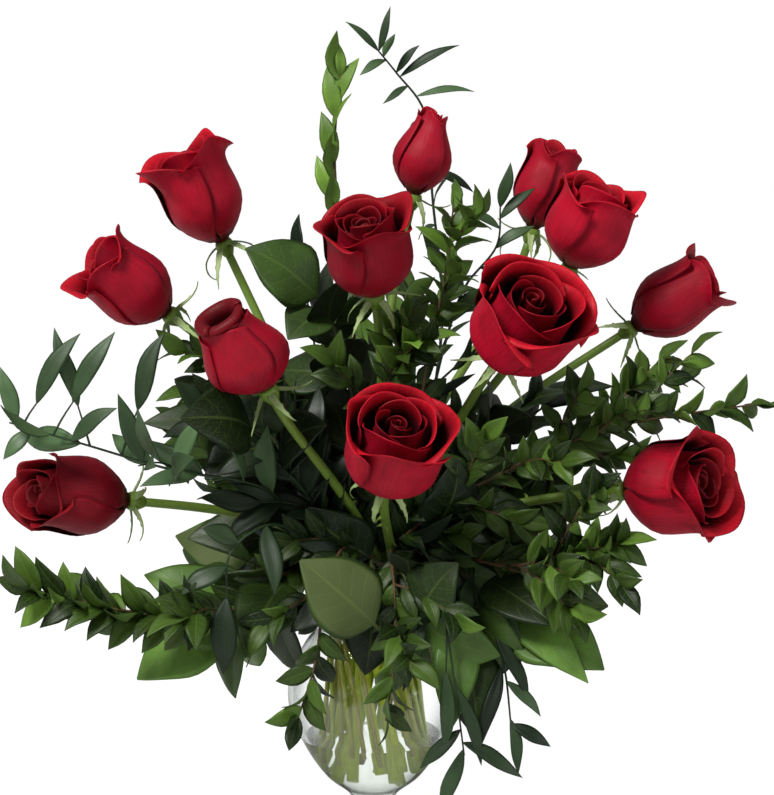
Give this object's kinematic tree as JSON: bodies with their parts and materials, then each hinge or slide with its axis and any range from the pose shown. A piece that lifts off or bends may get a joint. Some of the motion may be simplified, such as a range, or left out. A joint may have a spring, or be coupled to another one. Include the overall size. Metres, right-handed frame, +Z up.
{
  "type": "roses in a vase",
  "caption": "Full bouquet of long-stemmed red roses with mixed greenery, standing in a footed clear glass vase with water.",
  "frame": {"origin": "centre of the vase's foot, on the surface that it stands on", "axes": "+Z up along the vase's axis, -Y towards the front of the arrangement, +X to its right as seen from the front"},
  "size_m": [0.4627, 0.301, 0.524],
  "materials": {
    "glass": "clear polished glass",
    "water": "clear, still water",
    "petals": "soft, velvety red",
    "rose_stems": "smooth green skin, satin",
    "salal_leaves": "leathery, satin dark green, paler below",
    "ruscus_leaves": "stiff, glossy dark green",
    "huckleberry_leaves": "satin mid green on brown twigs"
  },
  "bodies": {
    "root": {"huckleberry_back": "huckleberry_leaves", "huckleberry_back_left": "huckleberry_leaves", "huckleberry_centre": "huckleberry_leaves", "huckleberry_centre_top": "huckleberry_leaves", "huckleberry_drop": "huckleberry_leaves", "huckleberry_drop_left": "huckleberry_leaves", "huckleberry_left": "huckleberry_leaves", "huckleberry_low_left": "huckleberry_leaves", "huckleberry_low_right": "huckleberry_leaves", "huckleberry_right": "huckleberry_leaves", "huckleberry_right_long": "huckleberry_leaves", "huckleberry_top_left": "huckleberry_leaves", "rose_bloom_back_bud": "petals", "rose_bloom_centre": "petals", "rose_bloom_far_left": "petals", "rose_bloom_front": "petals", "rose_bloom_left": "petals", "rose_bloom_left_bud": "petals", "rose_bloom_lower_right": "petals", "rose_bloom_open_right": "petals", "rose_bloom_right": "petals", "rose_bloom_top_bud": "petals", "rose_bloom_upper_left": "petals", "rose_bloom_upper_right": "petals", "rose_stem_back_bud": "rose_stems", "rose_stem_centre": "rose_stems", "rose_stem_far_left": "rose_stems", "rose_stem_front": "rose_stems", "rose_stem_left": "rose_stems", "rose_stem_left_bud": "rose_stems", "rose_stem_lower_right": "rose_stems", "rose_stem_open_right": "rose_stems", "rose_stem_right": "rose_stems", "rose_stem_top_bud": "rose_stems", "rose_stem_upper_left": "rose_stems", "rose_stem_upper_right": "rose_stems", "ruscus_back": "ruscus_leaves", "ruscus_back_low": "ruscus_leaves", "ruscus_back_right": "ruscus_leaves", "ruscus_drop": "ruscus_leaves", "ruscus_drop_right": "ruscus_leaves", "ruscus_left": "ruscus_leaves", "ruscus_left_drop": "ruscus_leaves", "ruscus_left_heart": "ruscus_leaves", "ruscus_top": "ruscus_leaves", "ruscus_top_right": "ruscus_leaves", "salal_back": "salal_leaves", "salal_back_left": "salal_leaves", "salal_back_right": "salal_leaves", "salal_drop": "salal_leaves", "salal_front": "salal_leaves", "salal_front_right": "salal_leaves", "salal_heart_right": "salal_leaves", "salal_left": "salal_leaves", "salal_low_left": "salal_leaves", "salal_right": "salal_leaves", "salal_upper_left": "salal_leaves", "vase": "glass", "water": "water"}
  },
  "joints": []
}
